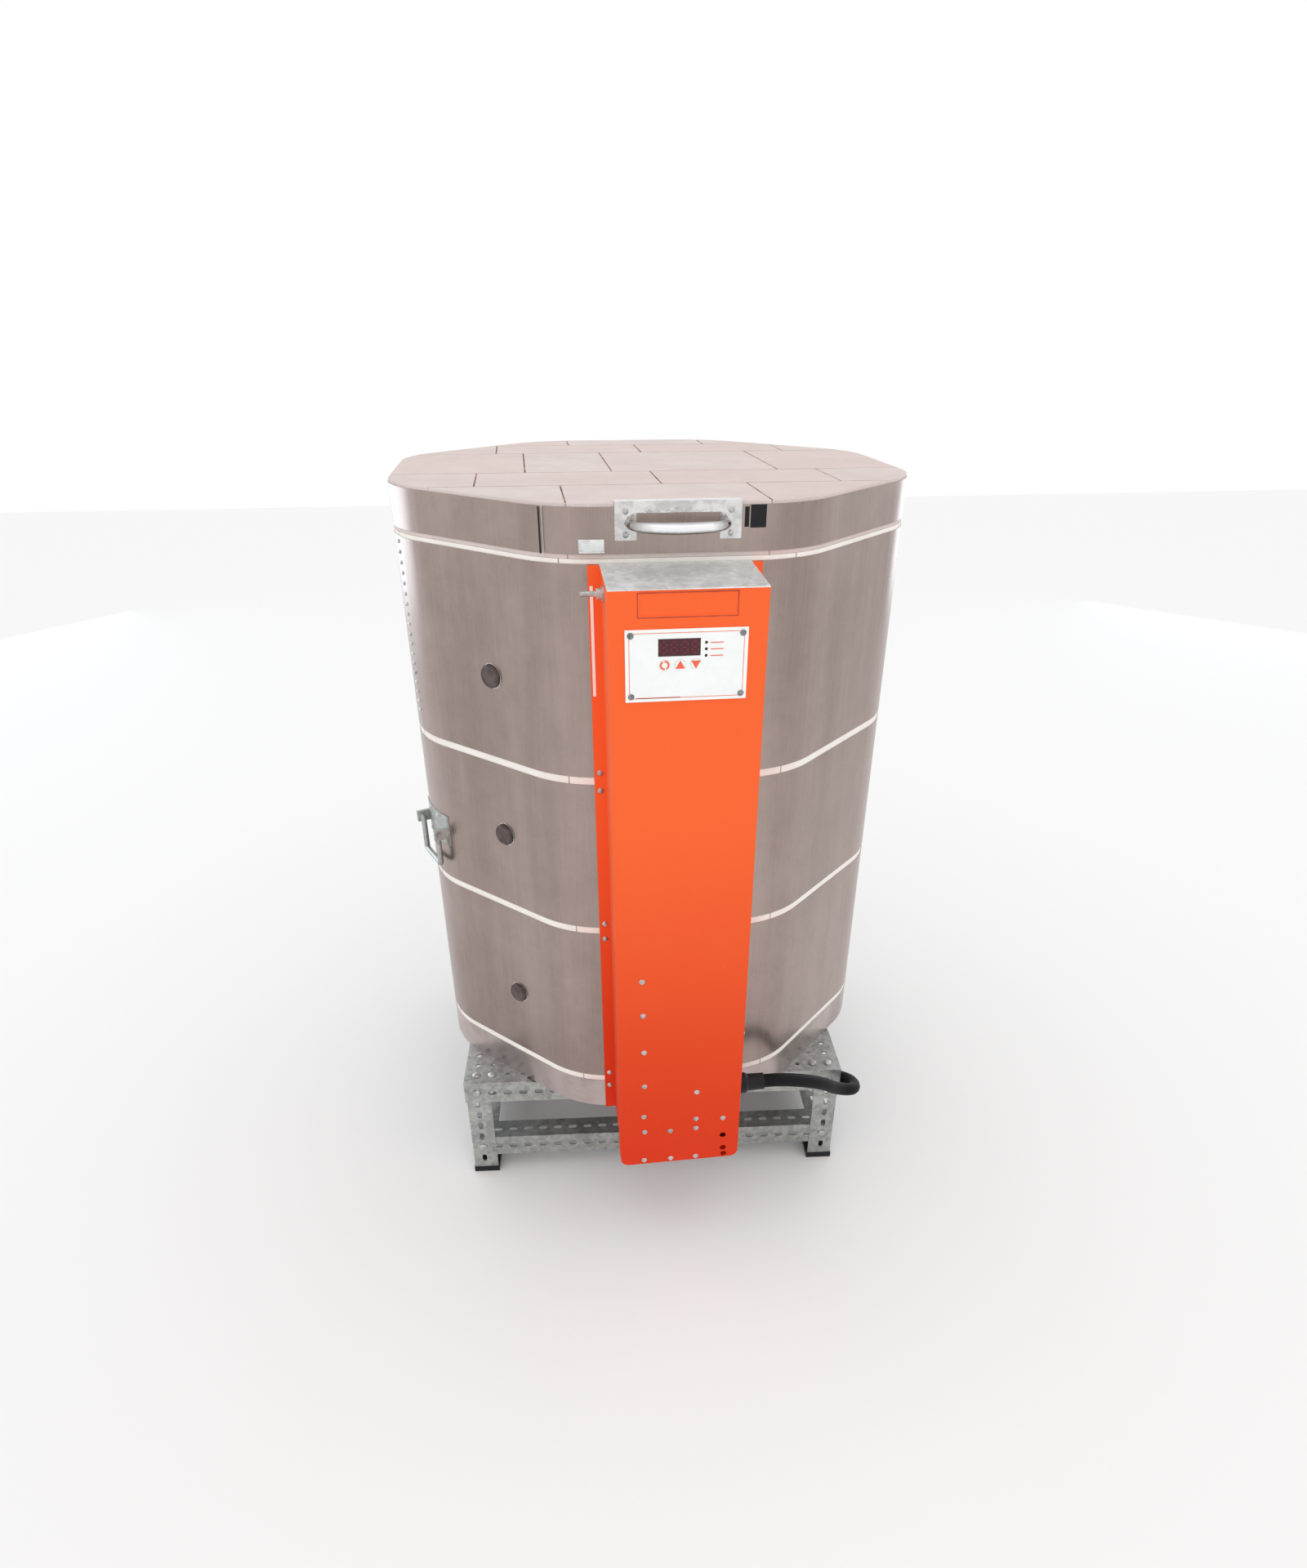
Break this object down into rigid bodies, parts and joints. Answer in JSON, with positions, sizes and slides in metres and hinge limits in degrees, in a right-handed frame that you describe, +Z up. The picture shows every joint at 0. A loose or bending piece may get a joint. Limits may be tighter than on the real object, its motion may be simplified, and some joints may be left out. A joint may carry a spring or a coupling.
{
  "type": "electric pottery kiln",
  "caption": "Top-loading electric pottery kiln: eight-sided brick rings in steel jackets on a slotted-angle stand, with hinged lid, control box, digital controller and power cord.",
  "frame": {"origin": "middle of the footprint at the floor, cord left out", "axes": "+Z up, -Y towards the front with the control box, +X to the right seen from the front"},
  "size_m": [0.7154, 1.0843, 1.0515],
  "materials": {
    "firebrick": "rough pale insulating brick",
    "stainless": "brushed warm grey sheet",
    "galvanised": "dull zinc coat",
    "orange_paint": "gloss powder coat",
    "heating_wire": "dark oxidised wire",
    "white_ceramic": "matt",
    "dark_ceramic": "matt",
    "bright_plate": "polished",
    "black_plastic": "matt",
    "white_plate": "satin print",
    "circuit": "satin",
    "display_red": "dark red window",
    "orange_plastic": "printed key",
    "cord_black": "matt",
    "transformer_steel": "dark varnish"
  },
  "bodies": {
    "kiln": {"bottom_ring_bricks": "firebrick", "middle_ring_bricks": "firebrick", "top_ring_bricks": "firebrick", "floor_bricks": "firebrick", "bottom_jacket": "stainless", "middle_jacket": "stainless", "top_jacket": "stainless", "floor_pan": "stainless", "bottom_elements": "heating_wire", "middle_elements": "heating_wire", "top_elements": "heating_wire", "element_bushes": "white_ceramic", "thermocouple": "white_ceramic", "top_rails": "galvanised", "lower_rails": "galvanised", "front_left_leg": "galvanised", "front_right_leg": "galvanised", "rear_left_leg": "galvanised", "rear_right_leg": "galvanised", "corner_plates": "galvanised", "stand_bolts": "galvanised", "foot_caps": "black_plastic", "left_handle_plate": "galvanised", "right_handle_plate": "galvanised", "jacket_fasteners": "galvanised", "body_hinge_leaf": "galvanised", "hinge_pin": "galvanised", "box_chassis": "orange_paint", "box_cover": "orange_paint", "box_top": "galvanised", "flange_strip": "white_plate", "box_screws": "galvanised", "controller_plate": "white_plate", "controller_board": "circuit", "display": "display_red", "indicator_lights": "display_red", "controller_screws": "galvanised", "transformer": "transformer_steel", "relays": "black_plastic", "terminal_block": "white_ceramic", "cable_gland": "black_plastic", "power_cord": "cord_black", "cord_coil": "cord_black", "power_plug": "cord_black"},
    "lid": {"lid_bricks": "firebrick", "lid_band": "stainless", "lid_handle_plate": "bright_plate", "lid_handle_bar": "bright_plate", "lid_screws": "galvanised", "lid_tab": "galvanised", "lid_label": "black_plastic", "lid_hinge_leaf": "galvanised"},
    "left_bail": {"left_handle_bail": "galvanised"},
    "right_bail": {"right_handle_bail": "galvanised"},
    "bottom_plug": {"bottom_peephole_plug": "dark_ceramic"},
    "middle_plug": {"middle_peephole_plug": "dark_ceramic"},
    "top_plug": {"top_peephole_plug": "dark_ceramic"},
    "key_cycle_body": {"key_cycle": "orange_plastic"},
    "key_up_body": {"key_up": "orange_plastic"},
    "key_down_body": {"key_down": "orange_plastic"}
  },
  "joints": [
    {"name": "lid_hinge", "type": "hinge", "parent": "kiln", "child": "lid", "pos_m": [0, 0.3899, 0.992], "axis": [-1, 0, 0], "range_deg": [0, 98]},
    {"name": "left_bail_swing", "type": "hinge", "parent": "kiln", "child": "left_bail", "pos_m": [-0.33573, -0.09466, 0.586], "axis": [-0.3827, 0.9239, 0], "range_deg": [0, 100]},
    {"name": "right_bail_swing", "type": "hinge", "parent": "kiln", "child": "right_bail", "pos_m": [0.33573, 0.18346, 0.586], "axis": [0.3827, -0.9239, 0], "range_deg": [0, 100]},
    {"name": "bottom_plug_pull", "type": "slide", "parent": "kiln", "child": "bottom_plug", "axis": [-0.7071, -0.7071, 0], "range_m": [0, 0.06]},
    {"name": "middle_plug_pull", "type": "slide", "parent": "kiln", "child": "middle_plug", "axis": [-0.7071, -0.7071, 0], "range_m": [0, 0.06]},
    {"name": "top_plug_pull", "type": "slide", "parent": "kiln", "child": "top_plug", "axis": [-0.7071, -0.7071, 0], "range_m": [0, 0.06]},
    {"name": "key_cycle_press", "type": "slide", "parent": "kiln", "child": "key_cycle_body", "axis": [0, 1, 0], "range_m": [0, 0.0005], "stiffness_N_per_m": 300, "springref_m": -0.0005},
    {"name": "key_up_press", "type": "slide", "parent": "kiln", "child": "key_up_body", "axis": [0, 1, 0], "range_m": [0, 0.0005], "stiffness_N_per_m": 300, "springref_m": -0.0005},
    {"name": "key_down_press", "type": "slide", "parent": "kiln", "child": "key_down_body", "axis": [0, 1, 0], "range_m": [0, 0.0005], "stiffness_N_per_m": 300, "springref_m": -0.0005}
  ]
}
